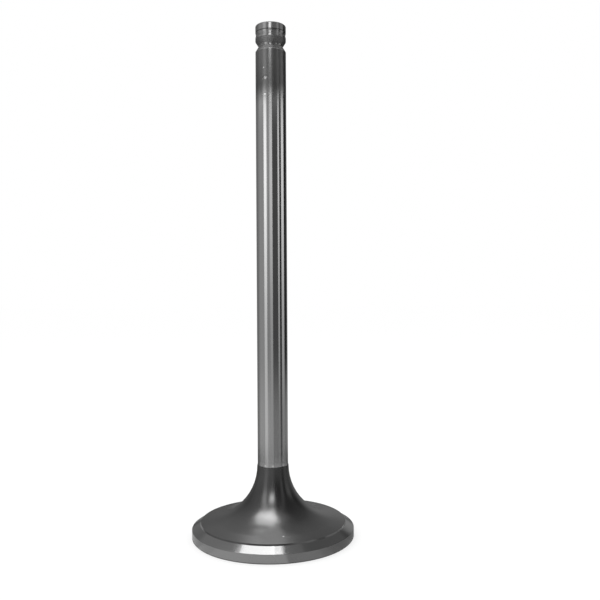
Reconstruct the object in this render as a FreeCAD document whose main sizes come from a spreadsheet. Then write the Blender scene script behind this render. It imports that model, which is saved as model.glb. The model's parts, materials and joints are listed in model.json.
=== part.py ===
import FreeCAD, Part
import math
import os
import Sketcher

# A poppet valve, turned in one piece: head with its seat, curved neck, ground stem, keeper groove and tip.
# It stands on its flat combustion face. The origin is the centre of that face, and +Z runs up the stem.

doc = FreeCAD.newDocument("engine_valve")

# Driving sizes, in millimetres and degrees. Heights are measured along the stem.
SIZES = [
    ("overall_length", 133.7, "combustion face to tip face"),
    ("stem_diameter", 8.0, "ground running diameter"),
    ("head_diameter", 42.4, "outside of the margin"),
    ("margin_height", 2.4, "combustion face to the seat's outer edge"),
    ("margin_break", 0.25, "chamfer round the combustion face"),
    ("seat_angle", 30.0, "seat above the horizontal"),
    ("seat_width", 2.8, "measured along the seat"),
    ("underhead_angle", 12.0, "upper side of the head above the horizontal"),
    ("neck_diameter", 8.25, "unground neck just below the ledge"),
    ("ledge_height", 18.35, "combustion face to the top of the neck"),
    ("ledge_rise", 0.15, "small cone between the neck and the ground stem"),
    ("tip_round", 0.3, "rounded edge of the tip"),
    ("ring_from_tip", 2.5, "tip face to the middle of the shallow ring"),
    ("ring_width", 1.35, "shallow ring, at the stem's surface"),
    ("ring_depth", 0.12, "shallow ring, below the stem's surface"),
    ("ring_root_radius", 1.0, "round root of the shallow ring"),
    ("groove_from_tip", 5.45, "tip face to the middle of the keeper groove"),
    ("groove_width", 2.8, "keeper groove, at the stem's surface"),
    ("groove_depth", 0.8, "keeper groove, below the stem's surface"),
    ("groove_root_radius", 0.4, "round root of the keeper groove"),
    ("groove_edge_round", 0.12, "rounded edges of the keeper groove"),
    ("dimple_diameter", 5.6, "turning centre, at the combustion face"),
    ("dimple_angle", 120.0, "turning centre, included angle of its cone"),
    ("cut_overrun", 1.0, "how far a cut reaches outside the stem"),
]
sheet = doc.addObject("Spreadsheet::Sheet", "sizes")
for row, (alias, value, meaning) in enumerate(SIZES, start=1):
    sheet.set(f"A{row}", alias)
    sheet.set(f"B{row}", str(value))
    sheet.set(f"C{row}", meaning)
    sheet.setAlias(f"B{row}", alias)
doc.recompute()

valve = doc.addObject("PartDesign::Body", "valve")
valve.Label = "valve"
valve.Placement = FreeCAD.Placement()

# Names for a sketch edge's points, and for the sketch's own origin and its axis along the stem.
START = 1
END = 2
CENTRE = 3
ORIGIN = (-1, START)

# How close, in millimetres, an edge lies to the circle that it is looked up by.
EDGE_TOLERANCE = 0.001


def size(alias):
    """One driving size as a number."""
    return float(sheet.get(alias))


def section_sketch(name):
    """An empty sketch in a plane through the axis: its x is the radius and its y is the height."""
    sketch = valve.newObject("Sketcher::SketchObject", name)
    plane = [feature for feature in valve.Origin.OriginFeatures if feature.Role == "XZ_Plane"][0]
    sketch.AttachmentSupport = [(plane, "")]
    sketch.MapMode = "FlatFace"
    return sketch


def line(sketch, begin, finish):
    """Adds a straight edge between two (radius, height) points and returns its number."""
    return sketch.addGeometry(Part.LineSegment(FreeCAD.Vector(*begin, 0), FreeCAD.Vector(*finish, 0)), False)


def arc(sketch, centre, radius, begin_angle, finish_angle):
    """Adds an anticlockwise arc between two angles in degrees and returns its number."""
    circle = Part.Circle(FreeCAD.Vector(*centre, 0), FreeCAD.Vector(0, 0, 1), radius)
    edge = Part.ArcOfCircle(circle, math.radians(begin_angle), math.radians(finish_angle))
    return sketch.addGeometry(edge, False)


def relate(sketch, kind, *points):
    """Adds a constraint that has no size, such as Coincident, Horizontal or Tangent."""
    sketch.addConstraint(Sketcher.Constraint(kind, *points))


def bind(sketch, kind, where, expression):
    """Adds a constraint whose size follows an expression on the sheet."""
    start_value = valve.evalExpression(expression)
    start_value = getattr(start_value, "Value", start_value)
    if kind == "Angle":
        start_value = math.radians(start_value)
    index = sketch.addConstraint(Sketcher.Constraint(kind, *where, start_value))
    sketch.setExpression(f"Constraints[{index}]", expression)


def at_radius(sketch, edge, end, expression):
    """Ties the radius of an edge's point to the sheet."""
    bind(sketch, "DistanceX", (*ORIGIN, edge, end), expression)


def at_height(sketch, edge, end, expression):
    """Ties the height of an edge's point to the sheet."""
    bind(sketch, "DistanceY", (*ORIGIN, edge, end), expression)


def turn(name, kind, sketch):
    """Revolves a section once round the axis, as a PartDesign Revolution or Groove."""
    feature = valve.newObject(kind, name)
    feature.Profile = sketch
    feature.ReferenceAxis = (sketch, ["V_Axis"])
    feature.Angle = 360
    doc.recompute()
    return feature


def circle_edge(shape, radius, height):
    """The name of the one edge that is a full circle of this radius at this height."""
    for number, edge in enumerate(shape.Edges, start=1):
        curve = edge.Curve
        if not isinstance(curve, Part.Circle):
            continue
        near_radius = abs(curve.Radius - radius) < EDGE_TOLERANCE
        near_height = abs(curve.Center.z - height) < EDGE_TOLERANCE
        if near_radius and near_height:
            return f"Edge{number}"
    raise RuntimeError(f"no edge of radius {radius} at height {height}")


def dress_edges(name, kind, size_name, expression, circles):
    """A Fillet or Chamfer on circles given as (radius, height), its size bound to the sheet."""
    base = valve.Tip
    feature = valve.newObject(kind, name)
    feature.Base = (base, [circle_edge(base.Shape, radius, height) for radius, height in circles])
    feature.setExpression(size_name, expression)
    doc.recompute()
    return feature


def turned_blank():
    """Half of the valve's long section, revolved: head, neck and stem before the grooves are cut."""
    stem = size("stem_diameter") / 2
    head = size("head_diameter") / 2
    neck = size("neck_diameter") / 2
    margin = size("margin_height")
    ledge = size("ledge_height")
    length = size("overall_length")
    seat = math.radians(size("seat_angle"))
    slope = math.radians(size("underhead_angle"))

    # The neck's arc meets the neck upright at the ledge, and is tangent to the cone that rises from the seat.
    seat_top = (head - size("seat_width") * math.cos(seat), margin + size("seat_width") * math.sin(seat))
    rise = ledge - seat_top[1]
    run = seat_top[0] - neck
    fillet = (rise * math.cos(slope) - run * math.sin(slope)) / (1 - math.sin(slope))
    middle = (neck + fillet, ledge)
    foot = (middle[0] - fillet * math.sin(slope), middle[1] - fillet * math.cos(slope))
    print(f"neck fillet radius {fillet:.3f} mm")

    sketch = section_sketch("blank_section")
    face = line(sketch, (0, 0), (head, 0))
    rim = line(sketch, (head, 0), (head, margin))
    seat_line = line(sketch, (head, margin), seat_top)
    cone = line(sketch, seat_top, foot)
    curve = arc(sketch, middle, fillet, 180, 270 - size("underhead_angle"))
    step = line(sketch, (neck, ledge), (stem, ledge + size("ledge_rise")))
    side = line(sketch, (stem, ledge + size("ledge_rise")), (stem, length))
    tip = line(sketch, (stem, length), (0, length))
    axis = line(sketch, (0, length), (0, 0))

    relate(sketch, "Coincident", face, START, *ORIGIN)
    relate(sketch, "Coincident", face, END, rim, START)
    relate(sketch, "Coincident", rim, END, seat_line, START)
    relate(sketch, "Coincident", seat_line, END, cone, START)
    relate(sketch, "Tangent", cone, END, curve, END)
    relate(sketch, "Coincident", curve, START, step, START)
    relate(sketch, "Coincident", step, END, side, START)
    relate(sketch, "Coincident", side, END, tip, START)
    relate(sketch, "Coincident", tip, END, axis, START)
    relate(sketch, "Coincident", axis, END, face, START)
    relate(sketch, "Horizontal", face)
    relate(sketch, "Vertical", rim)
    relate(sketch, "Vertical", side)
    relate(sketch, "Horizontal", tip)
    relate(sketch, "Vertical", axis)
    relate(sketch, "Horizontal", curve, CENTRE, curve, START)

    at_radius(sketch, face, END, "sizes.head_diameter / 2")
    at_height(sketch, rim, END, "sizes.margin_height")
    bind(sketch, "Distance", (seat_line,), "sizes.seat_width")
    bind(sketch, "Angle", (seat_line,), "180 - sizes.seat_angle")
    bind(sketch, "Angle", (cone,), "180 - sizes.underhead_angle")
    at_radius(sketch, curve, START, "sizes.neck_diameter / 2")
    at_height(sketch, curve, START, "sizes.ledge_height")
    at_radius(sketch, step, END, "sizes.stem_diameter / 2")
    at_height(sketch, step, END, "sizes.ledge_height + sizes.ledge_rise")
    at_height(sketch, tip, END, "sizes.overall_length")
    return turn("blank", "PartDesign::Revolution", sketch)


def ring_cut(name):
    """Cuts a ring round the stem near the tip: two flanks that meet in a round root.

    name is both the feature's name and the first word of its sizes on the sheet.
    """
    stem = size("stem_diameter") / 2
    outside = stem + size("cut_overrun")
    middle_height = size("overall_length") - size(f"{name}_from_tip")
    half_width = size(f"{name}_width") / 2
    root = size(f"{name}_root_radius")

    # Each flank runs from the stem's surface and touches the root's circle.
    middle = (stem - size(f"{name}_depth") + root, middle_height)
    to_edge = (stem - middle[0], half_width)
    touch = math.atan2(to_edge[1], to_edge[0]) + math.acos(root / math.hypot(*to_edge))
    inward = root * math.cos(touch)
    upward = root * math.sin(touch)

    sketch = section_sketch(f"{name}_section")
    upper_edge = (stem, middle_height + half_width)
    lower_edge = (stem, middle_height - half_width)
    top = line(sketch, (outside, upper_edge[1]), upper_edge)
    upper_flank = line(sketch, upper_edge, (middle[0] + inward, middle[1] + upward))
    curve = arc(sketch, middle, root, math.degrees(touch), 360 - math.degrees(touch))
    lower_flank = line(sketch, (middle[0] + inward, middle[1] - upward), lower_edge)
    bottom = line(sketch, lower_edge, (outside, lower_edge[1]))
    back = line(sketch, (outside, lower_edge[1]), (outside, upper_edge[1]))

    relate(sketch, "Coincident", top, END, upper_flank, START)
    relate(sketch, "Tangent", upper_flank, END, curve, START)
    relate(sketch, "Tangent", curve, END, lower_flank, START)
    relate(sketch, "Coincident", lower_flank, END, bottom, START)
    relate(sketch, "Coincident", bottom, END, back, START)
    relate(sketch, "Coincident", back, END, top, START)
    relate(sketch, "Horizontal", top)
    relate(sketch, "Horizontal", bottom)
    relate(sketch, "Vertical", back)

    height = f"sizes.overall_length - sizes.{name}_from_tip"
    at_radius(sketch, top, START, "sizes.stem_diameter / 2 + sizes.cut_overrun")
    at_radius(sketch, top, END, "sizes.stem_diameter / 2")
    at_height(sketch, top, END, f"{height} + sizes.{name}_width / 2")
    at_radius(sketch, bottom, START, "sizes.stem_diameter / 2")
    at_height(sketch, bottom, START, f"{height} - sizes.{name}_width / 2")
    bind(sketch, "Radius", (curve,), f"sizes.{name}_root_radius")
    at_radius(sketch, curve, CENTRE, f"sizes.stem_diameter / 2 - sizes.{name}_depth + sizes.{name}_root_radius")
    at_height(sketch, curve, CENTRE, height)
    return turn(name, "PartDesign::Groove", sketch)


def turning_centre():
    """Cuts the small cone in the middle of the combustion face."""
    radius = size("dimple_diameter") / 2
    depth = radius / math.tan(math.radians(size("dimple_angle") / 2))

    sketch = section_sketch("dimple_section")
    mouth = line(sketch, (0, 0), (radius, 0))
    wall = line(sketch, (radius, 0), (0, depth))
    axis = line(sketch, (0, depth), (0, 0))

    relate(sketch, "Coincident", mouth, START, *ORIGIN)
    relate(sketch, "Coincident", mouth, END, wall, START)
    relate(sketch, "Coincident", wall, END, axis, START)
    relate(sketch, "Coincident", axis, END, mouth, START)
    relate(sketch, "Horizontal", mouth)
    relate(sketch, "Vertical", axis)
    at_radius(sketch, mouth, END, "sizes.dimple_diameter / 2")
    bind(sketch, "Angle", (wall,), "90 + sizes.dimple_angle / 2")
    return turn("dimple", "PartDesign::Groove", sketch)


def must_remove(feature, before):
    """Stops if a cut took no metal off, and returns the volume that is left."""
    after = feature.Shape.Volume
    if not after < before:
        raise RuntimeError(f"{feature.Name} removed nothing")
    print(f"{feature.Name} removed {before - after:.3f} mm3")
    return after


# The valve is turned first, then grooved and centred, and its edges are broken last.
blank = turned_blank()
volume = blank.Shape.Volume
volume = must_remove(ring_cut("groove"), volume)
volume = must_remove(ring_cut("ring"), volume)
volume = must_remove(turning_centre(), volume)

head_radius = size("head_diameter") / 2
stem_radius = size("stem_diameter") / 2
tip_height = size("overall_length")
groove_height = tip_height - size("groove_from_tip")
groove_reach = size("groove_width") / 2
groove_edges = [(stem_radius, groove_height + groove_reach), (stem_radius, groove_height - groove_reach)]

rim_break = dress_edges("rim_break", "PartDesign::Chamfer", "Size", "sizes.margin_break", [(head_radius, 0)])
volume = must_remove(rim_break, volume)
tip_edge = dress_edges("tip_edge", "PartDesign::Fillet", "Radius", "sizes.tip_round", [(stem_radius, tip_height)])
volume = must_remove(tip_edge, volume)
soft_edges = dress_edges("soft_edges", "PartDesign::Fillet", "Radius", "sizes.groove_edge_round", groove_edges)
volume = must_remove(soft_edges, volume)
valve.Tip = soft_edges
doc.recompute()

for thing in doc.Objects:
    if "Invalid" in thing.State or "Error" in thing.State:
        raise RuntimeError(f"{thing.Name} failed: {thing.State}")
    if thing.isDerivedFrom("Sketcher::SketchObject") and thing.solve() != 0:
        raise RuntimeError(f"{thing.Name} does not solve")
if valve.Shape.isNull() or not valve.Shape.isValid():
    raise RuntimeError("the valve has no valid shape")
if len(valve.Shape.Solids) != 1:
    raise RuntimeError("the valve is not one solid")

os.makedirs("parts", exist_ok=True)
valve.Shape.exportStep(f"parts/{valve.Label}.step")
box = valve.Shape.BoundBox
print(f"{valve.Label}: {box.XLength:.3f} x {box.YLength:.3f} x {box.ZLength:.3f} mm, {volume:.1f} mm3")
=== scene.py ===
"""Looks of a poppet engine valve that stands on its head: turned head, dark neck, ground stem and grooved tip.

Lengths are in metres and angles in degrees, unless a name says otherwise. The valve's axis is +Z, and its
combustion face lies on the floor at z = 0. An azimuth of 0 faces the camera and grows towards its right.
"""

import json
import logging
import math
from dataclasses import dataclass
from enum import IntEnum
from functools import partial, reduce
from typing import Any, Callable, Optional, Union

import bpy
from mathutils import Matrix, Vector, noise

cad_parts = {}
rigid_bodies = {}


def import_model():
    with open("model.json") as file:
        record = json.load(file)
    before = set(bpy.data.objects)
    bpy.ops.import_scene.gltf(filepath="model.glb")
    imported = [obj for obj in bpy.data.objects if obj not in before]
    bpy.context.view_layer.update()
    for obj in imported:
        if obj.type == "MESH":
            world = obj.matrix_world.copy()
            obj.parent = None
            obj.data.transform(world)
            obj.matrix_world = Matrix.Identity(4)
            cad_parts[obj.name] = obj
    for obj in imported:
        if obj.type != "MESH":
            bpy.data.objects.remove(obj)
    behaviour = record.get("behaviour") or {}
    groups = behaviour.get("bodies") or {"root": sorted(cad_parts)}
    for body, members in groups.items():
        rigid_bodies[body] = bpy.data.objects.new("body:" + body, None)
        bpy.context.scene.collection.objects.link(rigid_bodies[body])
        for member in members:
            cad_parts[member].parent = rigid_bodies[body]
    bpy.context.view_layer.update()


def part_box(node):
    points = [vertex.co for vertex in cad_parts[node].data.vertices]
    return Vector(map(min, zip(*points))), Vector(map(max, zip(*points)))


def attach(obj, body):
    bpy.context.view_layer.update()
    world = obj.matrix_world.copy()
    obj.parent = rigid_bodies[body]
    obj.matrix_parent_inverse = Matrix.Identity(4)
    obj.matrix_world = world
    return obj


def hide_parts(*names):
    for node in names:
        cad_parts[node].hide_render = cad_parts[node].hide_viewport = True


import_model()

LOG = logging.getLogger("valve")
MM = 0.001

Point = tuple[float, float]
Colour = tuple[float, float, float, float]
Operand = Union[float, "Value"]
Patches = tuple[float, float, float]
Shade = Callable[["ShaderTree"], bpy.types.NodeSocket]


def grey(level: float) -> Colour:
    """A grey of a linear level."""
    return (level, level, level, 1.0)


def turned(radius: float, azimuth: float, height: float) -> Vector:
    """The point at a radius, at an azimuth in radians and at a height."""
    return Vector((radius * math.sin(azimuth), -radius * math.cos(azimuth), height))


def square(half: float) -> tuple[Point, ...]:
    """The corners of a level square round the axis."""
    return ((-half, -half), (half, -half), (half, half), (-half, half))


def add_object(name: str, data: bpy.types.ID) -> bpy.types.Object:
    """Adds an object to the scene.

    Args:
        name: The object's name.
        data: Its mesh, lamp or camera.

    Returns:
        The object.
    """
    item = bpy.data.objects.new(name, data)
    bpy.context.scene.collection.objects.link(item)
    return item


class Value:
    """A number that varies over a surface: a node's output that Python expressions can use."""

    def __init__(self, tree: "ShaderTree", socket: bpy.types.NodeSocket) -> None:
        """Wraps one output socket of a tree."""
        self.tree = tree
        self.socket = socket

    def maths(self, operation: str, *operands: Operand) -> "Value":
        """Adds one Math node.

        Args:
            operation: The Math node's operation.
            operands: Its inputs in order, as numbers or values.

        Returns:
            The node's result.
        """
        return self.tree.value("ShaderNodeMath", {"operation": operation}, dict(enumerate(operands)))

    def __add__(self, other: Operand) -> "Value":
        """This value plus another."""
        return self.maths("ADD", self, other)

    def __radd__(self, other: Operand) -> "Value":
        """A number plus this value."""
        return self.maths("ADD", other, self)

    def __sub__(self, other: Operand) -> "Value":
        """This value less another."""
        return self.maths("SUBTRACT", self, other)

    def __rsub__(self, other: Operand) -> "Value":
        """A number less this value."""
        return self.maths("SUBTRACT", other, self)

    def __mul__(self, other: Operand) -> "Value":
        """This value times another."""
        return self.maths("MULTIPLY", self, other)

    def __rmul__(self, other: Operand) -> "Value":
        """A number times this value."""
        return self.maths("MULTIPLY", other, self)

    def root(self) -> "Value":
        """The square root."""
        return self.maths("SQRT", self)

    def sine(self) -> "Value":
        """The sine of this value in radians."""
        return self.maths("SINE", self)

    def waves(self, pitch: float) -> "Value":
        """Even waves from 0 to 1, one for each pitch by which this value grows."""
        return (self * (2 * math.pi / pitch)).sine() * 0.5 + 0.5

    def larger(self, other: Operand) -> "Value":
        """The larger of this value and another."""
        return self.maths("MAXIMUM", self, other)

    def rise(self, low: float, high: float) -> "Value":
        """0 below low, 1 above high and a smooth step between them."""
        settings = {"interpolation_type": "SMOOTHSTEP"}
        return self.tree.value("ShaderNodeMapRange", settings, {"Value": self, "From Min": low, "From Max": high})

    def band(self, low: float, high: float, soft: float) -> "Value":
        """1 from low to high, and 0 a soft edge away from them."""
        return self.rise(low - soft, low) * (1 - self.rise(high, high + soft))


class ShaderTree:
    """The nodes of one material or world."""

    def __init__(self, owner: Union[bpy.types.Material, bpy.types.World]) -> None:
        """Starts from an empty tree."""
        owner.use_nodes = True
        self.tree = owner.node_tree
        self.tree.nodes.clear()

    def add(self, kind: str, settings: Optional[dict[str, Any]] = None,
            inputs: Optional[dict[Union[int, str], Any]] = None) -> bpy.types.Node:
        """Adds a node of any type.

        Args:
            kind: The node's type.
            settings: Its own settings, which are set before its sockets.
            inputs: What each input socket gets: a number, a colour, a value or another node's output.

        Returns:
            The new node.
        """
        node = self.tree.nodes.new(kind)
        for name, setting in (settings or {}).items():
            setattr(node, name, setting)
        for key, given in (inputs or {}).items():
            source = given.socket if isinstance(given, Value) else given
            if isinstance(source, bpy.types.NodeSocket):
                self.tree.links.new(source, node.inputs[key])
            else:
                node.inputs[key].default_value = source
        return node

    def value(self, kind: str, settings: Optional[dict[str, Any]] = None,
              inputs: Optional[dict[Union[int, str], Any]] = None, output: Union[int, str] = 0) -> Value:
        """Adds a node as add does, and returns one of its outputs as a value."""
        return Value(self, self.add(kind, settings, inputs).outputs[output])

    def blend(self, mask: Operand, low: Any, high: Any) -> bpy.types.NodeSocket:
        """A colour that goes from low to high as the mask goes from 0 to 1."""
        return self.add("ShaderNodeMix", {"data_type": "RGBA"}, {0: mask, 6: low, 7: high}).outputs[2]

    def scaled(self, colour: bpy.types.NodeSocket, share: Value) -> bpy.types.NodeSocket:
        """A colour times a share that varies."""
        return self.add("ShaderNodeVectorMath", {"operation": "SCALE"}, {0: colour, "Scale": share}).outputs[0]

    def place(self, scale: Patches = (1.0, 1.0, 1.0)) -> bpy.types.NodeSocket:
        """The point on the valve, in metres, times a scale along each axis."""
        coordinates = self.add("ShaderNodeTexCoord").outputs["Object"]
        return self.add("ShaderNodeVectorMath", {"operation": "MULTIPLY"}, {0: coordinates, 1: scale}).outputs[0]

    def height(self) -> Value:
        """The height above the combustion face."""
        return self.value("ShaderNodeSeparateXYZ", None, {0: self.place()}, "Z")

    def radius(self) -> Value:
        """The distance from the valve's axis."""
        axes = self.add("ShaderNodeSeparateXYZ", None, {0: self.place()})
        across = Value(self, axes.outputs["X"])
        along = Value(self, axes.outputs["Y"])
        return (across * across + along * along).root()

    def near(self, point: Vector, reach: float) -> Value:
        """1 round a point of the valve, and 0 beyond it.

        Args:
            point: The point.
            reach: The distance where it is 0. Out to a third of that it is 1.

        Returns:
            The mask.
        """
        inputs = {0: self.place(), 1: tuple(point)}
        distance = self.value("ShaderNodeVectorMath", {"operation": "DISTANCE"}, inputs, "Value")
        return 1 - distance.rise(reach / 3, reach)

    def speckle(self, scale: Patches, detail: float = 2.0, contrast: float = 0.5) -> Value:
        """Noise from 0 to 1.

        Args:
            scale: Patches per metre along each axis.
            detail: How many finer layers it has.
            contrast: How strong the finer layers are.

        Returns:
            The noise.
        """
        inputs = {"Vector": self.place(scale), "Scale": 1.0, "Detail": detail, "Roughness": contrast}
        return self.value("ShaderNodeTexNoise", None, inputs, "Fac")

    def bump(self, relief: Value, depth: float) -> bpy.types.NodeSocket:
        """A normal from a relief that is 0 to 1 over a depth in metres."""
        return self.add("ShaderNodeBump", None, {"Height": relief, "Distance": depth}).outputs["Normal"]

    def glow(self, level: Operand) -> bpy.types.NodeSocket:
        """A shader that glows in grey.

        Args:
            level: Its level, the same all over or one that varies.

        Returns:
            The shader.
        """
        if isinstance(level, Value):
            return self.add("ShaderNodeEmission", None, {"Color": level, "Strength": 1.0}).outputs[0]
        return self.add("ShaderNodeEmission", None, {"Color": grey(1.0), "Strength": level}).outputs[0]

    def clear(self) -> bpy.types.NodeSocket:
        """A shader that everything passes through."""
        return self.add("ShaderNodeBsdfTransparent").outputs[0]

    def mix(self, mask: Operand, low: bpy.types.NodeSocket, high: bpy.types.NodeSocket) -> bpy.types.NodeSocket:
        """A shader that goes from low to high as the mask goes from 0 to 1."""
        return self.add("ShaderNodeMixShader", None, {0: mask, 1: low, 2: high}).outputs[0]

    def ray(self, fact: str) -> Value:
        """What Light Path says of the ray that meets the surface."""
        return self.value("ShaderNodeLightPath", None, None, fact)

    def behind(self) -> Value:
        """1 on the back of a face, and 0 on its front."""
        return self.value("ShaderNodeNewGeometry", None, None, "Backfacing")

    def show(self, surface: bpy.types.NodeSocket, output: str = "ShaderNodeOutputMaterial") -> None:
        """Links a shader to the tree's output."""
        self.add(output, None, {"Surface": surface})


def add_stage(name: str, corners: list[Vector], faces: list[tuple[int, ...]], shade: Shade) -> bpy.types.Object:
    """Adds a piece with a material of its own.

    Args:
        name: Its name.
        corners: Its corners.
        faces: Its faces.
        shade: What makes its shader in the tree of its material.

    Returns:
        The piece.
    """
    mesh = bpy.data.meshes.new(name)
    mesh.from_pydata(corners, [], faces)
    material = bpy.data.materials.new(name)
    tree = ShaderTree(material)
    tree.show(shade(tree))
    mesh.materials.append(material)
    piece = add_object(name, mesh)
    return piece


class Zone(IntEnum):
    """The finishes of the valve, in the order of its material slots."""

    TURNED = 0
    SATIN = 1
    GROUND = 2


@dataclass(frozen=True)
class BareGlint:
    """A bright spot of painted highlight that stands for a glint; at a nick it also stands for the bare metal that
    the nick shows.
    """

    azimuth: float
    height: float
    reach: float
    radius: float = 4.0 * MM

    def middle(self) -> Vector:
        """The middle of the spot."""
        return turned(self.radius, math.radians(self.azimuth), self.height)


@dataclass(frozen=True)
class SteelFinish:
    """What the three steel finishes share: a metal with turning or grinding lines round the axis."""

    name: str
    anisotropy: float
    bare_glints: tuple[BareGlint, ...] = ()
    quarter_turn: float = 0.25
    line_contrast: float = 0.6

    def paint(self, tree: ShaderTree) -> None:
        """Adds the finish's nodes to its material's tree."""
        raise NotImplementedError

    def build(self) -> bpy.types.Material:
        """Makes the material.

        Returns:
            The material.
        """
        material = bpy.data.materials.new(self.name)
        self.paint(ShaderTree(material))
        return material

    def bare_glint_spots(self, tree: ShaderTree) -> Value:
        """1 on the bright spots of painted highlight, and 0 elsewhere."""
        return reduce(Value.larger, [tree.near(bare_glint.middle(), bare_glint.reach) for bare_glint in self.bare_glints])

    def surface(self, tree: ShaderTree, colour: Any, roughness: Value, normal: bpy.types.NodeSocket,
                more: Optional[dict[str, Any]] = None) -> None:
        """Ends a tree in a metal whose highlights stretch across the lines of the tool.

        Args:
            tree: The material's nodes.
            colour: The metal's reflectance.
            roughness: Its roughness.
            normal: Its bumped normal.
            more: Any further inputs of the shader.
        """
        inputs = {
            "Base Color": colour,
            "Metallic": 1.0,
            "Roughness": roughness,
            "Anisotropic": self.anisotropy,
            "Anisotropic Rotation": self.quarter_turn,
            "Normal": normal,
            **(more or {}),
        }
        tree.show(tree.add("ShaderNodeBsdfPrincipled", None, inputs).outputs["BSDF"])


@dataclass(frozen=True)
class GroundFinish(SteelFinish):
    """The ground stem, which is bright, and the length below the tip, which a heat treatment left dark.

    The dark length is matt under a thin glossy film. The groove's root and the land above it are smoother.
    """

    bright: float = 0.60
    dark: float = 0.20
    land_tone: float = 0.34
    band_tone: float = 0.30
    # Painted light: the lighter tone of the groove's lower flank, which faces up.
    lit_flank_tone: float = 0.38
    # Painted shade: the tone of a dark line round the ring near the tip.
    ring_shade_tone: float = 0.13
    # Painted highlight: the tone of the bright spots and of the bright line along the groove's lower edge.
    bare_glint_tone: float = 0.85
    dark_from: float = 112.4 * MM
    fade: float = 6.0 * MM
    ragged: float = 7.0 * MM
    land_from: float = 130.05 * MM
    land_soft: float = 0.2 * MM
    # Painted shade: the half width and soft edge of that dark line.
    ring_edge: float = 131.87 * MM
    ring_shade_half: float = 0.1 * MM
    ring_shade_soft: float = 0.06 * MM
    groove_low: float = 126.85 * MM
    groove_middle: float = 128.25 * MM
    groove_mouth: float = 3.97 * MM
    groove_root: float = 3.27 * MM
    groove_soft: float = 0.1 * MM
    # Partly wear, partly painted highlight: the bright line along the groove's lower edge.
    worn_glint_edge: float = 0.14 * MM
    worn_glint_share: float = 0.5
    end_from: float = 133.65 * MM
    end_soft: float = 0.02 * MM
    polish: float = 0.13
    matt: float = 0.48
    band_matt: float = 0.65
    root_polish: float = 0.20
    land_polish: float = 0.26
    film_polish: float = 0.12
    film_index: float = 1.6
    film_from: float = 114.0 * MM
    film_whole: float = 127.0 * MM
    ring_pitch: float = 0.18 * MM
    line_depth: float = 0.2e-6
    ragged_patches: Patches = (420, 420, 55)
    ragged_detail: float = 3.0
    cloud_patches: Patches = (60, 60, 25)
    line_patches: Patches = (30, 30, 2600)
    plain_shade: float = 0.94
    cloud_shade: float = 0.08
    line_shade: float = 0.05
    line_roughness: float = 0.05

    def paint(self, tree: ShaderTree) -> None:
        """Adds the finish's nodes to its material's tree."""
        height = tree.height()
        radius = tree.radius()
        edge_noise = tree.speckle(self.ragged_patches, self.ragged_detail)
        tip_mask = (height + (edge_noise - 0.5) * self.ragged).rise(self.dark_from, self.dark_from + self.fade)
        land_mask = height.rise(self.land_from, self.land_from + self.land_soft)
        end_mask = height.rise(self.end_from, self.end_from + self.end_soft)
        cloud = tree.speckle(self.cloud_patches)
        lines = tree.speckle(self.line_patches, contrast=self.line_contrast)
        rings = radius.waves(self.ring_pitch)
        shade = self.plain_shade + self.cloud_shade * cloud + self.line_shade * lines
        soft = self.groove_soft
        below_middle = 1 - height.rise(self.groove_middle - 2 * soft, self.groove_middle + soft)
        # Painted light: the groove's lower flank, which faces up, is made lighter.
        lit_flank_mask = below_middle * (1 - radius.rise(self.groove_mouth - soft, self.groove_mouth)) * tip_mask
        root_mask = 1 - radius.rise(self.groove_root, self.groove_root + soft)
        below_groove = 1 - height.rise(self.groove_low, self.groove_low + soft)
        film_zone = height.rise(self.film_from, self.film_whole) * below_groove
        # Partly wear, partly painted highlight: a bright line along the groove's lower edge.
        worn_glint_mask = height.band(self.groove_low, self.groove_low, self.worn_glint_edge) * self.worn_glint_share
        bare_glint_mask = worn_glint_mask.larger(self.bare_glint_spots(tree))
        # Painted shade: a dark line round the ring near the tip.
        ring_shade_mask = height.band(self.ring_edge - self.ring_shade_half, self.ring_edge + self.ring_shade_half, self.ring_shade_soft)
        tip_colour = tree.blend(below_groove, grey(self.band_tone), grey(self.dark))
        for mask, tone in ((land_mask, self.land_tone), (lit_flank_mask, self.lit_flank_tone), (ring_shade_mask, self.ring_shade_tone)):
            tip_colour = tree.blend(mask, tip_colour, grey(tone))
        colour = tree.blend(tip_mask, grey(self.bright), tip_colour)
        # Painted highlights: the bright spots and the bright line along the groove's lower edge.
        colour = tree.blend(bare_glint_mask, colour, grey(self.bare_glint_tone))
        band_rough = self.band_matt + root_mask * (self.root_polish - self.band_matt)
        dark_rough = band_rough + below_groove * (self.matt - band_rough)
        tip_rough = dark_rough + land_mask * (self.land_polish - dark_rough)
        dull = tip_mask * (1 - bare_glint_mask)
        roughness = self.polish + dull * (tip_rough - self.polish) + (lines - 0.5) * self.line_roughness
        relief = lines + end_mask * (rings - lines)
        film = {
            "Coat Weight": tip_mask * film_zone,
            "Coat Roughness": self.film_polish,
            "Coat IOR": self.film_index,
        }
        self.surface(tree, tree.scaled(colour, shade), roughness, tree.bump(relief, self.line_depth), film)


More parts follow.
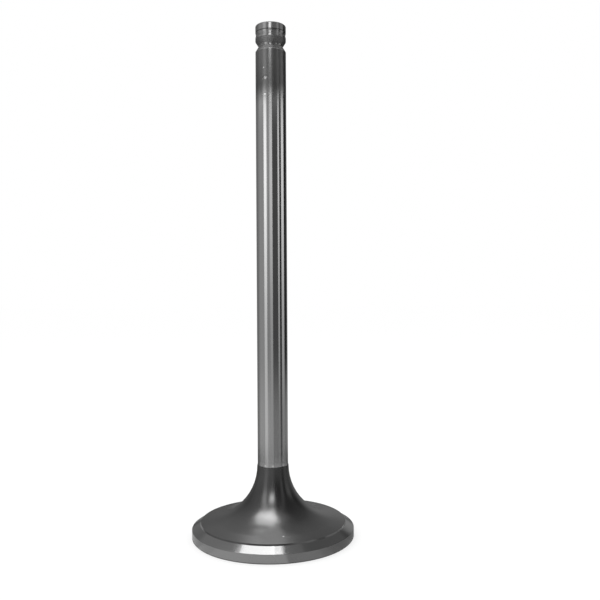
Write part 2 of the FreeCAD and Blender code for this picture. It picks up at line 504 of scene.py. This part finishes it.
@dataclass(frozen=True)
class SatinFinish(SteelFinish):
    """The upper side of the head and the neck, which is darker: even and satin.

    The edge beside the seat has a painted shade line, darker still in front, and a painted highlight on its right
    side.
    """

    head_tone: float = 0.24
    neck_tone: float = 0.14
    neck_from: float = 5.0 * MM
    neck_above: float = 10.0 * MM
    # Painted highlight: the tone of the bright spot on the tulip.
    bare_glint_tone: float = 0.70
    roughness: float = 0.25
    # Painted shade and painted highlight on the edge beside the seat.
    edge_shade_tone: float = 0.12
    side_shade_tone: float = 0.17
    edge_highlight_tone: float = 0.34
    edge_from: float = 18.88 * MM
    edge_soft: float = 0.03 * MM
    edge_shade_across: Point = (-12.5 * MM, -9.0 * MM)
    edge_highlight_across: Point = (2.0 * MM, 6.0 * MM)
    cloud_patches: Patches = (120, 120, 120)
    cloud_detail: float = 4.0
    cloud_contrast: float = 0.55
    plain_shade: float = 0.88
    cloud_shade: float = 0.24
    cloud_roughness: float = 0.06
    grain_patches: Patches = (2600, 2600, 2600)
    grain_depth: float = 2.0e-6

    def paint(self, tree: ShaderTree) -> None:
        """Adds the finish's nodes to its material's tree."""
        cloud = tree.speckle(self.cloud_patches, self.cloud_detail, self.cloud_contrast)
        grain = tree.speckle(self.grain_patches)
        neck_mask = tree.height().rise(self.neck_from, self.neck_above)
        colour = tree.blend(neck_mask, grey(self.head_tone), grey(self.neck_tone))
        across = tree.value("ShaderNodeSeparateXYZ", None, {0: tree.place()}, "X")
        # Painted shade in front and a painted highlight on the right side of the edge beside the seat, set by x.
        painted_edge_colour = tree.blend(across.rise(*self.edge_shade_across), grey(self.side_shade_tone), grey(self.edge_shade_tone))
        painted_edge_colour = tree.blend(across.rise(*self.edge_highlight_across), painted_edge_colour, grey(self.edge_highlight_tone))
        edge_mask = tree.radius().rise(self.edge_from, self.edge_from + self.edge_soft)
        colour = tree.blend(edge_mask, colour, painted_edge_colour)
        colour = tree.blend(self.bare_glint_spots(tree), colour, grey(self.bare_glint_tone))
        shade = self.plain_shade + self.cloud_shade * cloud
        roughness = self.roughness + (cloud - 0.5) * self.cloud_roughness
        self.surface(tree, tree.scaled(colour, shade), roughness, tree.bump(grain, self.grain_depth))


@dataclass(frozen=True)
class TurnedFinish(SteelFinish):
    """The seat, the margin and the combustion face, with fine lathe lines round the axis."""

    seat_tone: float = 0.42
    margin_tone: float = 0.23
    face_tone: float = 0.34
    seat_from: float = 2.4 * MM
    seat_soft: float = 0.05 * MM
    face_below: float = 0.1 * MM
    roughness: float = 0.27
    seat_smoother: float = 0.13
    cloud_patches: Patches = (90, 90, 90)
    cloud_detail: float = 3.0
    cloud_roughness: float = 0.05
    line_patches: Patches = (40, 40, 1800)
    line_pitch: float = 0.22 * MM
    line_wander: float = 0.3 * MM
    line_depth: float = 0.5e-6

    def paint(self, tree: ShaderTree) -> None:
        """Adds the finish's nodes to its material's tree."""
        height = tree.height()
        radius = tree.radius()
        seat_mask = height.rise(self.seat_from, self.seat_from + self.seat_soft)
        face_mask = 1 - height.rise(self.face_below, 2 * self.face_below)
        body = tree.blend(face_mask, grey(self.margin_tone), grey(self.face_tone))
        colour = tree.blend(seat_mask, body, grey(self.seat_tone))
        cloud = tree.speckle(self.cloud_patches, self.cloud_detail)
        lines = tree.speckle(self.line_patches, contrast=self.line_contrast)
        face_lines = (radius + cloud * self.line_wander).waves(self.line_pitch)
        relief = lines * (1 - face_mask) + face_lines * face_mask
        roughness = self.roughness - seat_mask * self.seat_smoother + (cloud - 0.5) * self.cloud_roughness
        self.surface(tree, colour, roughness, tree.bump(relief, self.line_depth))


@dataclass(frozen=True)
class Corner:
    """A corner of the valve's long section, with the radius that rounds it and the finish that follows it."""

    radius: float
    height: float
    rounding: float
    zone: Zone


@dataclass(frozen=True)
class Nick:
    """A small dent in the stem, with the metal that it pushed up beside it."""

    azimuth: float
    height: float
    length: float
    width: float
    tilt: float
    depth: float
    steepness: float = 2.0
    lip_away: float = 1.2
    lip_share: float = 0.6

    def push(self, azimuth: float, height: float, radius: float) -> float:
        """How far the dent moves a point of the stem outwards.

        Args:
            azimuth: The point's azimuth in radians.
            height: The point's height.
            radius: The stem's radius there.

        Returns:
            The distance, below zero where the point moves in.
        """
        turn = azimuth - math.radians(self.azimuth)
        across = math.atan2(math.sin(turn), math.cos(turn)) * radius
        up = height - self.height
        tilt = math.radians(self.tilt)
        along = (across * math.cos(tilt) + up * math.sin(tilt)) / self.length
        beside = (up * math.cos(tilt) - across * math.sin(tilt)) / self.width
        dent = math.exp(-self.steepness * (along * along + beside * beside))
        lip = math.exp(-self.steepness * (along * along + (beside - self.lip_away) ** 2))
        return self.depth * (self.lip_share * lip - dent)


@dataclass
class Valve:
    """The whole valve, turned from one section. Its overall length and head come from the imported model."""

    overall_length: float
    head_radius: float
    stem_radius: float = 4.0 * MM
    margin_height: float = 2.4 * MM
    margin_break: float = 0.25 * MM
    seat_angle: float = 30.0
    seat_width: float = 2.8 * MM
    seat_lip: Point = (0.29 * MM, 0.17 * MM)
    seat_step: Point = (0.15 * MM, 0.40 * MM)
    underhead_angle: float = 12.0
    neck_radius: float = 4.125 * MM
    ledge_height: float = 18.35 * MM
    ledge_rise: float = 0.12 * MM
    ledge_waver: float = 0.16 * MM
    ledge_waves: float = 6.0
    ledge_burr: float = 0.07 * MM
    burr_waves: float = 24.0
    tip_round: float = 0.3 * MM
    ring_from_tip: float = 2.5 * MM
    ring_width: float = 1.35 * MM
    ring_depth: float = 0.12 * MM
    ring_root: float = 1.0 * MM
    groove_from_tip: float = 5.45 * MM
    groove_width: float = 2.8 * MM
    groove_depth: float = 0.8 * MM
    groove_root: float = 0.4 * MM
    groove_edge: float = 0.12 * MM
    dimple_radius: float = 2.8 * MM
    dimple_angle: float = 120.0
    fine_edge: float = 0.06 * MM
    sides: int = 256
    arc_step: float = 7.0
    longest_run: float = 2.0 * MM
    nick_run: float = 0.12 * MM
    sharp_angle: float = 18.0
    least_turn: float = 1e-4
    least_step: float = 1e-7
    nicks: tuple[Nick, ...] = (
        Nick(-21.7, 119.2 * MM, 0.60 * MM, 0.28 * MM, 28.0, 0.18 * MM),
        Nick(-27.0, 121.9 * MM, 0.25 * MM, 0.18 * MM, 10.0, 0.05 * MM),
        Nick(-23.0, 115.0 * MM, 0.30 * MM, 0.22 * MM, 0.0, 0.06 * MM),
        Nick(-33.0, 118.9 * MM, 0.25 * MM, 0.15 * MM, 40.0, 0.05 * MM),
        Nick(42.0, 127.6 * MM, 0.30 * MM, 0.20 * MM, 40.0, 0.08 * MM),
    )
    # Painted highlights: bright spots at the nicks, along the ledge and in the groove, brighter than the steel
    # round them.
    stem_bare_glints: tuple[BareGlint, ...] = (
        BareGlint(-21.7, 119.25 * MM, 0.46 * MM),
        BareGlint(-27.0, 121.9 * MM, 0.18 * MM),
        BareGlint(-23.0, 115.0 * MM, 0.27 * MM),
        BareGlint(44.8, 127.6 * MM, 0.50 * MM, 3.55 * MM),
        BareGlint(-30.0, 18.95 * MM, 0.40 * MM),
        BareGlint(0.0, 18.95 * MM, 0.40 * MM),
        BareGlint(42.0, 19.0 * MM, 0.30 * MM),
    )
    # A painted highlight on the tulip.
    head_bare_glints: tuple[BareGlint, ...] = (BareGlint(9.0, 4.47 * MM, 0.42 * MM, 15.6 * MM),)

    def ring_corners(self, middle: float, width: float, depth: float, root: float, edge: float) -> list[Corner]:
        """The three corners of a ring cut into the stem: its two flanks touch a round root.

        Args:
            middle: Height of the ring's middle.
            width: Its width at the stem's surface.
            depth: Its depth below that surface.
            root: Radius of its root.
            edge: Radius of its two edges.

        Returns:
            The lower edge, the point where the flanks would meet, and the upper edge.
        """
        root_middle = self.stem_radius - depth + root
        reach = self.stem_radius - root_middle
        touch = math.atan2(width / 2, reach) + math.acos(root / math.hypot(reach, width / 2))
        apex = root_middle + root / math.cos(touch)
        return [
            Corner(self.stem_radius, middle - width / 2, edge, Zone.GROUND),
            Corner(apex, middle, root, Zone.GROUND),
            Corner(self.stem_radius, middle + width / 2, edge, Zone.GROUND),
        ]

    def corners(self) -> list[Corner]:
        """The section's corners.

        Returns:
            The corners, from the middle of the combustion face round to the middle of the tip.
        """
        dimple_depth = self.dimple_radius / math.tan(math.radians(self.dimple_angle / 2))
        seat = math.radians(self.seat_angle)
        slope = math.radians(self.underhead_angle)
        seat_radius = self.head_radius - self.seat_width * math.cos(seat)
        seat_height = self.margin_height + self.seat_width * math.sin(seat)
        lip_radius = seat_radius + self.seat_lip[0]
        lip_height = seat_height - self.seat_lip[1]
        neck_corner = seat_height + (seat_radius - self.neck_radius) * math.tan(slope)
        fillet = (self.ledge_height - neck_corner) / math.tan(math.radians(90 - self.underhead_angle) / 2)
        groove = self.overall_length - self.groove_from_tip
        ring = self.overall_length - self.ring_from_tip
        return [
            Corner(0.0, dimple_depth, 0.0, Zone.TURNED),
            Corner(self.dimple_radius, 0.0, 2 * self.fine_edge, Zone.TURNED),
            Corner(self.head_radius - self.margin_break, 0.0, self.fine_edge, Zone.TURNED),
            Corner(self.head_radius, self.margin_break, self.fine_edge, Zone.TURNED),
            Corner(self.head_radius, self.margin_height, self.fine_edge, Zone.TURNED),
            Corner(lip_radius, lip_height, 0.0, Zone.SATIN),
            Corner(lip_radius - self.seat_step[0], lip_height + self.seat_step[1], 0.0, Zone.SATIN),
            Corner(self.neck_radius, neck_corner, fillet, Zone.SATIN),
            Corner(self.neck_radius, self.ledge_height, 0.0, Zone.GROUND),
            Corner(self.stem_radius, self.ledge_height + self.ledge_rise, 0.0, Zone.GROUND),
            *self.ring_corners(groove, self.groove_width, self.groove_depth, self.groove_root, self.groove_edge),
            *self.ring_corners(ring, self.ring_width, self.ring_depth, self.ring_root, self.fine_edge),
            Corner(self.stem_radius, self.overall_length, self.tip_round, Zone.GROUND),
            Corner(0.0, self.overall_length, 0.0, Zone.GROUND),
        ]

    def rounded(self, before: Corner, corner: Corner, after: Corner) -> list[Point]:
        """The points of one corner.

        Args:
            before: The corner before it.
            corner: The corner.
            after: The corner after it.

        Returns:
            The corner itself if it is sharp, or else an arc that touches both sides.
        """
        here = Vector((corner.radius, corner.height))
        back = (Vector((before.radius, before.height)) - here).normalized()
        onward = (Vector((after.radius, after.height)) - here).normalized()
        turn = math.pi - back.angle(onward)
        if corner.rounding == 0.0 or turn < self.least_turn:
            return [tuple(here)]
        reach = corner.rounding * math.tan(turn / 2)
        middle = here + (back + onward).normalized() * math.hypot(reach, corner.rounding)
        first = here + back * reach - middle
        last = here + onward * reach - middle
        steps = max(2, math.ceil(math.degrees(turn) / self.arc_step))
        points = []
        for index in range(steps + 1):
            share = index * turn / steps
            spoke = (first * math.sin(turn - share) + last * math.sin(share)) / math.sin(turn)
            points.append(tuple(middle + spoke))
        return points

    def run_length(self, height: float) -> float:
        """The longest straight step that the mesh takes at a height: shorter beside a nick."""
        near = any(abs(height - nick.height) < 4 * nick.width + nick.length for nick in self.nicks)
        return self.nick_run if near else self.longest_run

    def straight(self, start: Point, finish: Point) -> list[Point]:
        """The points inside a straight run.

        Args:
            start: Where the run starts.
            finish: Where it ends.

        Returns:
            The points, with one close to each end so that the run's shading stays flat.
        """
        begin = Vector(start)
        way = Vector(finish) - begin
        length = way.length
        if length < 4 * self.fine_edge:
            return []
        stops = [self.fine_edge]
        while stops[-1] < length - self.fine_edge:
            step = self.run_length(begin.y + way.y * stops[-1] / length)
            stops.append(min(stops[-1] + step, length - self.fine_edge))
        return [tuple(begin + way * (stop / length)) for stop in stops]

    def section(self) -> list[tuple[Point, Zone]]:
        """The whole section.

        Returns:
            Every point of it, each with the finish of the face that follows it.
        """
        corners = self.corners()
        section: list[tuple[Point, Zone]] = [((corners[0].radius, corners[0].height), corners[0].zone)]
        for index in range(1, len(corners)):
            corner = corners[index]
            if index + 1 < len(corners):
                points = self.rounded(corners[index - 1], corner, corners[index + 1])
            else:
                points = [(corner.radius, corner.height)]
            last_point = section[-1][0]
            zone_before = corners[index - 1].zone
            section += [(point, zone_before) for point in self.straight(last_point, points[0])]
            if (Vector(points[0]) - Vector(last_point)).length < self.least_step:
                points = points[1:]
            section += [(point, corner.zone) for point in points]
        return section

    def vertex(self, point: Point, side: int) -> Vector:
        """One vertex of a ring of the mesh.

        Args:
            point: The section's point that the ring is turned from.
            side: The vertex's number in the ring.

        Returns:
            Its place, moved where the ledge wavers or the stem is nicked.
        """
        radius, height = point
        azimuth = 2 * math.pi * side / self.sides
        if abs(height - self.ledge_height) < 2 * self.ledge_rise:
            spot = Vector((math.sin(azimuth), math.cos(azimuth), 0.0))
            height += self.ledge_waver * noise.noise(spot * self.ledge_waves)
            if radius > self.stem_radius:
                height += self.ledge_burr * noise.noise(spot * self.burr_waves)
        if height > self.ledge_height + 4 * self.ledge_rise:
            radius += sum(nick.push(azimuth, height, radius) for nick in self.nicks)
        return turned(radius, azimuth, height)

    def build(self) -> bpy.types.Object:
        """Turns the section into a closed mesh.

        Returns:
            The valve's object, with each face given the number of its finish.
        """
        section = self.section()
        vertices: list[Vector] = []
        rings: list[list[int]] = []
        for point, _ in section:
            count = 1 if point[0] == 0.0 else self.sides
            rings.append([len(vertices) + side for side in range(count)])
            vertices += [self.vertex(point, side) for side in range(count)]
        faces: list[tuple[int, ...]] = []
        zones: list[int] = []
        for low, high, (_, zone) in zip(rings, rings[1:], section):
            for side in range(self.sides):
                after = (side + 1) % self.sides
                if len(low) == 1:
                    face = (low[0], high[after], high[side])
                elif len(high) == 1:
                    face = (low[side], low[after], high[0])
                else:
                    face = (low[side], low[after], high[after], high[side])
                faces.append(face)
                zones.append(int(zone))
        mesh = bpy.data.meshes.new("valve_body")
        mesh.from_pydata(vertices, [], faces)
        mesh.polygons.foreach_set("material_index", zones)
        mesh.shade_smooth()
        mesh.set_sharp_from_angle(angle=math.radians(self.sharp_angle))
        mesh.validate()
        return add_object("valve_body", mesh)

    def dress(self, valve: bpy.types.Object) -> None:
        """Gives the mesh its three finishes, in the order of the zones."""
        finishes = (
            TurnedFinish("turned_steel", 0.6),
            SatinFinish("satin_steel", 0.1, self.head_bare_glints),
            GroundFinish("ground_steel", 0.8, self.stem_bare_glints),
        )
        for finish in finishes:
            valve.data.materials.append(finish.build())


FAR_STRIP_RADIUS = 0.0692
FAR_STRIP_REACH: Point = (0.100, 0.122)
WALL_TOP_EDGES: tuple[Point, Point] = ((0.0693, 0.152), (0.0693, 0.18))
CEILING_EDGES: tuple[Point, Point] = ((0.025, 0.179), (0.070, 0.179))
FLOOR_INNER = 0.0216
FLOOR_OUTER = 0.045
FLOOR_FAR = 0.068


@dataclass(frozen=True)
class Card:
    """One upright card of the light tent: the azimuths it spans and how bright it is.

    The stem, which is near, sees its level, and the head, which is further off, its far level. Both see its low
    level near the floor. A lamp fades towards the floor. At the top the level changes by a share.
    """

    start: float
    end: float
    level: float
    low_level: float
    far_level: float
    lamp: bool = False
    top_share: float = 1.0


@dataclass(frozen=True)
class LevelCard:
    """One card between two edges, each a radius and a height.

    With a reach, it glows on its lower or inner side alone, and only for what is as far off as that.
    """

    start: float
    end: float
    inner: Point
    outer: Point
    level: float
    reach: Optional[Point] = None

    @classmethod
    def far_strip(cls, start: float, end: float, top: float, bottom: float, level: float) -> "LevelCard":
        """A strip before the wall, between two heights, which only the head sees."""
        return cls(start, end, (FAR_STRIP_RADIUS, top), (FAR_STRIP_RADIUS, bottom), level, FAR_STRIP_REACH)

    @classmethod
    def wall_top(cls, start: float, end: float, level: float) -> "LevelCard":
        """A strip before the top of the wall."""
        return cls(start, end, *WALL_TOP_EDGES, level)

    @classmethod
    def ceiling(cls, start: float, end: float, level: float) -> "LevelCard":
        """A card just below the ceiling."""
        return cls(start, end, *CEILING_EDGES, level)

    @classmethod
    def floor(cls, start: float, end: float, level: float, outer: float = FLOOR_OUTER) -> "LevelCard":
        """A card on the floor, from the rim of the head out to a radius."""
        return cls(start, end, (FLOOR_INNER, 0.0), (outer, 0.0), level)


@dataclass
class LightTent:
    """Cards round the valve that only reflections see: they give the polished stem its stripes.

    A reach is two distances from the point that mirrors a card: nearer than the one it doesn't count as far, and
    beyond the other it does.
    """

    radius: float = 0.07
    top: float = 0.18
    lit_from: float = 0.04
    lit_above: float = 0.110
    unlit_share: float = 0.5
    dim_from: float = 0.118
    dim_above: float = 0.150
    haze_below: float = 0.018
    haze_ends: float = 0.045
    foot_from: float = 0.002
    foot_ends: float = 0.011
    foot_share: float = 0.4
    far_reach: Point = (0.071, 0.078)
    rim_level: float = 0.27
    bar_azimuths: Point = (-14.0, 2.5)
    bar_from: float = 0.139
    bar_above: float = 0.152
    bar_level: float = 3.3
    bar_share: float = 0.99
    softbox_height: float = 0.170
    softbox_front: tuple[Point, ...] = ((-0.069, -0.061), (0.010, -0.061), (0.019, -0.006), (-0.069, -0.006))
    softbox_back: tuple[Point, ...] = ((-0.069, -0.006), (0.019, -0.006), (0.019, 0.020), (-0.069, 0.050))
    front_level: float = 4.3
    back_level: float = 2.2
    softbox_reach: Point = (0.120, 0.150)
    second_bounce: Point = (1.2, 1.8)
    ceiling_level: float = 0.20
    ceiling_share: float = 1.1
    sleeve_level: float = 0.8
    sleeve_azimuths: Point = (-75.0, 75.0)
    sleeve_rings: tuple[Point, ...] = ((0.0070, 0.0102), (0.0053, 0.0135), (0.0044, 0.0180), (0.0043, 0.0340))
    degrees_per_side: float = 3.0
    cards: tuple[Card, ...] = (
        Card(-180, -167, 0.60, 0.30, 0.95),
        Card(-167, -163.5, 0.22, 0.24, 0.66),
        Card(-163.5, -116, 0.20, 0.22, 0.29),
        Card(-116, -100, 0.30, 0.36, 0.34),
        Card(-100, -57.5, 0.35, 0.42, 0.40, top_share=1.7),
        Card(-57.5, -36, 1.42, 0.68, 1.50, lamp=True, top_share=0.55),
        Card(-36, -28, 0.50, 0.45, 0.45, lamp=True),
        Card(-28, -19, 0.30, 0.40, 0.35),
        Card(-19, -12, 0.55, 0.39, 0.45, lamp=True, top_share=0.6),
        Card(-12, 6, 0.80, 0.39, 0.45, lamp=True, top_share=0.6),
        Card(6, 47, 0.08, 0.24, 0.12, top_share=4.0),
        Card(47, 59.5, 0.85, 0.28, 0.35, lamp=True, top_share=0.30),
        Card(59.5, 76.5, 0.03, 0.10, 0.10, top_share=7.0),
        Card(76.5, 102, 0.93, 0.30, 0.12, lamp=True, top_share=0.26),
        Card(102, 132, 0.02, 0.24, 0.14),
        Card(132, 172, 0.10, 0.34, 0.21),
        Card(172, 180, 0.60, 0.30, 0.95),
    )
    level_cards: tuple[LevelCard, ...] = (
        LevelCard(-19, 6, (0.037, 0.0507), (0.053, 0.0496), 4.4, reach=(0.047, 0.051)),
        LevelCard.far_strip(-104, -60, 0.170, 0.130, 4.0),
        LevelCard.far_strip(-125, -113, 0.170, 0.158, 2.5),
        LevelCard.far_strip(-125, -113, 0.158, 0.138, 0.60),
        LevelCard.far_strip(-167, -154, 0.170, 0.110, 1.4),
        LevelCard.wall_top(-57.5, -36, 1.00),
        LevelCard.wall_top(47, 60, 0.75),
        LevelCard.wall_top(75.5, 102, 0.45),
        LevelCard.ceiling(-100, -59, 0.50),
        LevelCard.ceiling(-59, -35, 0.90),
        LevelCard.ceiling(-14, 2.5, 1.30),
        LevelCard.ceiling(45, 102, 0.40),
        LevelCard(-180, 180, (0.0005, 0.179), (0.025, 0.179), 0.60),
        LevelCard.floor(-180, -130, 0.25, FLOOR_FAR),
        LevelCard.floor(-130, -66, 0.64),
        LevelCard.floor(-66, -50, 0.88),
        LevelCard.floor(-50, -17, 1.03),
        LevelCard.floor(10, 38, 0.62),
        LevelCard.floor(38, 46, 0.52),
        LevelCard.floor(46, 56, 0.42),
        LevelCard.floor(56, 74, 0.36),
        LevelCard.floor(74, 120, 0.28),
        LevelCard.floor(120, 180, 0.22, FLOOR_FAR),
        # Painted shadow: a dark ring on the floor under the rim, which reflections see as the contact shadow.
        LevelCard(-180, 180, (0.02096, 0.0), (0.0215, 0.0), 0.04),
    )

    def card(self, name: str, corners: list[Vector], faces: list[tuple[int, ...]], shade: Shade) -> None:
        """Adds a piece as add_stage does, which only reflections see."""
        card = add_stage(name, corners, faces, shade)
        for rays in ("camera", "diffuse", "shadow", "transmission", "volume_scatter"):
            setattr(card, f"visible_{rays}", False)

    def sector(self, name: str, azimuths: Point, inner: Point, outer: Point, shade: Shade) -> None:
        """Adds a card that is curved round the valve.

        Args:
            name: The card's name.
            azimuths: The azimuths it starts and ends at.
            inner: The radius and height of its one edge.
            outer: The radius and height of its other edge.
            shade: What makes its shader.
        """
        start, end = azimuths
        sides = max(1, round((end - start) / self.degrees_per_side))
        corners = []
        for step in range(sides + 1):
            azimuth = math.radians(start + (end - start) * step / sides)
            corners += [turned(radius, azimuth, height) for radius, height in (inner, outer)]
        faces = [(2 * step, 2 * step + 2, 2 * step + 3, 2 * step + 1) for step in range(sides)]
        self.card(name, corners, faces, shade)

    def wall_shade(self, card: Card, tree: ShaderTree) -> bpy.types.NodeSocket:
        """The glow of an upright card by height: its low level below a haze, and its near or far level above.

        Args:
            card: The card. The rim of the head sees at least the rim's level low on it.
            tree: The nodes of its material.

        Returns:
            The shader.
        """
        height = tree.height()
        far = tree.ray("Ray Length").rise(*self.far_reach)
        high: Operand = card.level
        if card.lamp:
            lit = self.unlit_share + (1 - self.unlit_share) * height.rise(self.lit_from, self.lit_above)
            high = card.level * lit
        high = high * (1 + (card.top_share - 1) * height.rise(self.dim_from, self.dim_above))
        high = high + far * (card.far_level - high)
        foot = self.foot_share + (1 - self.foot_share) * height.rise(self.foot_from, self.foot_ends)
        low = (card.low_level * foot).larger(self.rim_level * far)
        clear = height.rise(self.haze_below, self.haze_ends)
        return tree.glow(low * (1 - clear) + high * clear)

    def level_shade(self, card: LevelCard, tree: ShaderTree) -> bpy.types.NodeSocket:
        """The glow of a level card.

        Args:
            card: The card.
            tree: The nodes of its material.

        Returns:
            The shader.
        """
        if card.reach is None:
            return tree.glow(card.level)
        seen = tree.ray("Ray Length").rise(*card.reach) * (1 - tree.behind())
        return tree.mix(seen, tree.clear(), tree.glow(card.level))

    def sleeve_shade(self, tree: ShaderTree) -> bpy.types.NodeSocket:
        """A glow on the side that faces away from the stem, and nothing on the other."""
        return tree.mix(tree.behind(), tree.glow(self.sleeve_level), tree.clear())

    def bar_shade(self, tree: ShaderTree) -> bpy.types.NodeSocket:
        """The glow of the narrow bar in front: nothing low down, and bright at the tip's height."""
        return tree.glow(self.bar_level * tree.height().rise(self.bar_from, self.bar_above))

    def softbox_shade(self, level: float, tree: ShaderTree) -> bpy.types.NodeSocket:
        """The glow of a softbox: it lights the head, and the tip, which is close to it, sees through it.

        The head also sees it by way of the stem, as a second reflection.

        Args:
            level: The softbox's level.
            tree: The nodes of its material.

        Returns:
            The shader.
        """
        bounced = tree.ray("Glossy Depth").rise(*self.second_bounce)
        seen = tree.ray("Ray Length").rise(*self.softbox_reach).larger(bounced)
        return tree.mix(seen, tree.clear(), tree.glow(level))

    def overhead(self, name: str, corners: tuple[Point, ...], height: float, shade: Shade) -> None:
        """Adds a card with four corners that faces down."""
        self.card(name, [Vector((*corner, height)) for corner in corners], [(0, 1, 2, 3)], shade)

    def build(self) -> None:
        """Adds the walls, the level cards, the bar, the ceiling, the softboxes below it and the sleeve."""
        for index, card in enumerate(self.cards):
            ends = ((self.radius, 0.0), (self.radius, self.top))
            self.sector(f"tent_wall_{index}", (card.start, card.end), *ends, partial(self.wall_shade, card))
        for index, level_card in enumerate(self.level_cards):
            azimuths = (level_card.start, level_card.end)
            shade = partial(self.level_shade, level_card)
            self.sector(f"tent_level_{index}", azimuths, level_card.inner, level_card.outer, shade)
        near = self.bar_share * self.radius
        self.sector("tent_bar", self.bar_azimuths, (near, self.bar_from), (near, self.top), self.bar_shade)
        ceiling = square(self.ceiling_share * self.radius)
        self.overhead("tent_ceiling", ceiling, self.top, lambda tree: tree.glow(self.ceiling_level))
        softboxes = (("front", self.softbox_front, self.front_level), ("back", self.softbox_back, self.back_level))
        for name, corners, level in softboxes:
            shade = partial(self.softbox_shade, level)
            self.overhead(f"tent_softbox_{name}", corners, self.softbox_height, shade)
        for index, (low, high) in enumerate(zip(self.sleeve_rings, self.sleeve_rings[1:])):
            self.sector(f"tent_sleeve_{index}", self.sleeve_azimuths, low, high, self.sleeve_shade)


@dataclass
class Studio:
    """The pale floor, the white surround and the soft lamp that give the valve its shadow."""

    floor_size: float = 8.0
    floor_drop: float = 0.01 * MM
    floor_shade: float = 0.80
    glow_share: float = 0.62
    glow: float = 1.12
    fill: float = 1.0
    lamp_place: tuple[float, float, float] = (-0.10, 0.05, 0.45)
    lamp_size: float = 0.35
    lamp_power: float = 0.5

    def seen(self, tree: ShaderTree) -> Value:
        """1 for rays that show the surround: the camera's, reflections and transmitted ones."""
        return reduce(Value.larger, [tree.ray(f"Is {kind} Ray") for kind in ("Camera", "Glossy", "Transmission")])

    def paper(self, tree: ShaderTree) -> bpy.types.NodeSocket:
        """The floor's paper, part glowing for what sees it, so that it is white and still takes a shadow.

        Args:
            tree: The nodes of its material.

        Returns:
            The shader. From below it is clear, so that the combustion face can be looked at.
        """
        matt = tree.add("ShaderNodeBsdfDiffuse", None, {"Color": grey(self.floor_shade)}).outputs[0]
        lit = tree.mix(self.seen(tree) * self.glow_share, matt, tree.glow(self.glow))
        return tree.mix(tree.behind(), lit, tree.clear())

    def floor(self) -> None:
        """Adds the floor."""
        corners = [Vector((*corner, -self.floor_drop)) for corner in square(self.floor_size / 2)]
        add_stage("floor", corners, [(0, 1, 2, 3)], self.paper)

    def surround(self) -> None:
        """Makes the world white for what sees it, and a plain fill for the floor."""
        world = bpy.data.worlds.new("surround")
        bpy.context.scene.world = world
        tree = ShaderTree(world)
        seen = self.seen(tree)
        level = seen + (1 - seen) * self.fill
        white = tree.add("ShaderNodeBackground", None, {"Color": level, "Strength": 1.0}).outputs[0]
        tree.show(white, "ShaderNodeOutputWorld")

    def lamp(self) -> None:
        """Hangs one soft square lamp over the valve."""
        light = bpy.data.lights.new("overhead", "AREA")
        light.size = self.lamp_size
        light.energy = self.lamp_power
        lamp = add_object("overhead", light)
        lamp.location = self.lamp_place
        lamp.rotation_euler = (-Vector(self.lamp_place)).to_track_quat("-Z", "Y").to_euler()
        lamp.visible_glossy = False

    def build(self) -> None:
        """Adds the floor, the surround and the lamp."""
        self.floor()
        self.surround()
        self.lamp()


@dataclass
class PhotoCamera:
    """The camera at the photograph's viewing angle."""

    distance: float = 186.05 * MM
    height: float = 62.97 * MM
    pitch: float = 0.347
    yaw: float = 2.269
    roll: float = 0.304
    focal_pixels: float = 705.6
    frame_pixels: float = 600.0
    sensor: float = 36.0
    clip_near: float = 0.01

    def build(self) -> None:
        """Adds the camera and makes it the scene's."""
        pitch, yaw, roll = (math.radians(angle) for angle in (self.pitch, self.yaw, self.roll))
        forward = Vector((math.sin(yaw) * math.cos(pitch), math.cos(yaw) * math.cos(pitch), -math.sin(pitch)))
        level_right = Vector((math.cos(yaw), -math.sin(yaw), 0.0))
        level_up = level_right.cross(forward)
        right = math.cos(roll) * level_right - math.sin(roll) * level_up
        up = math.sin(roll) * level_right + math.cos(roll) * level_up
        lens = bpy.data.cameras.new("camera")
        lens.sensor_width = self.sensor
        lens.lens = self.focal_pixels * self.sensor / self.frame_pixels
        lens.clip_start = self.clip_near
        camera = add_object("camera", lens)
        turn = Matrix((right, up, -forward)).transposed()
        camera.matrix_world = Matrix.Translation((0.0, -self.distance, self.height)) @ turn.to_4x4()
        bpy.context.scene.camera = camera


def main() -> None:
    """Builds the valve, its studio and the camera."""
    logging.basicConfig(level=logging.INFO, format="%(name)s: %(message)s")
    bpy.context.scene.view_settings.view_transform = "Standard"
    low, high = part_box("valve")
    shape = Valve(overall_length=high.z - low.z, head_radius=round((high.x - low.x) / 2, 5))
    valve = shape.build()
    shape.dress(valve)
    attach(valve, "root")
    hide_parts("valve")
    LOG.info("valve_body: %d faces", len(valve.data.polygons))
    LightTent().build()
    LOG.info("light tent built")
    Studio().build()
    LOG.info("floor, surround and lamp built")
    PhotoCamera().build()
    LOG.info("camera placed")


if __name__ == "__main__":
    main()
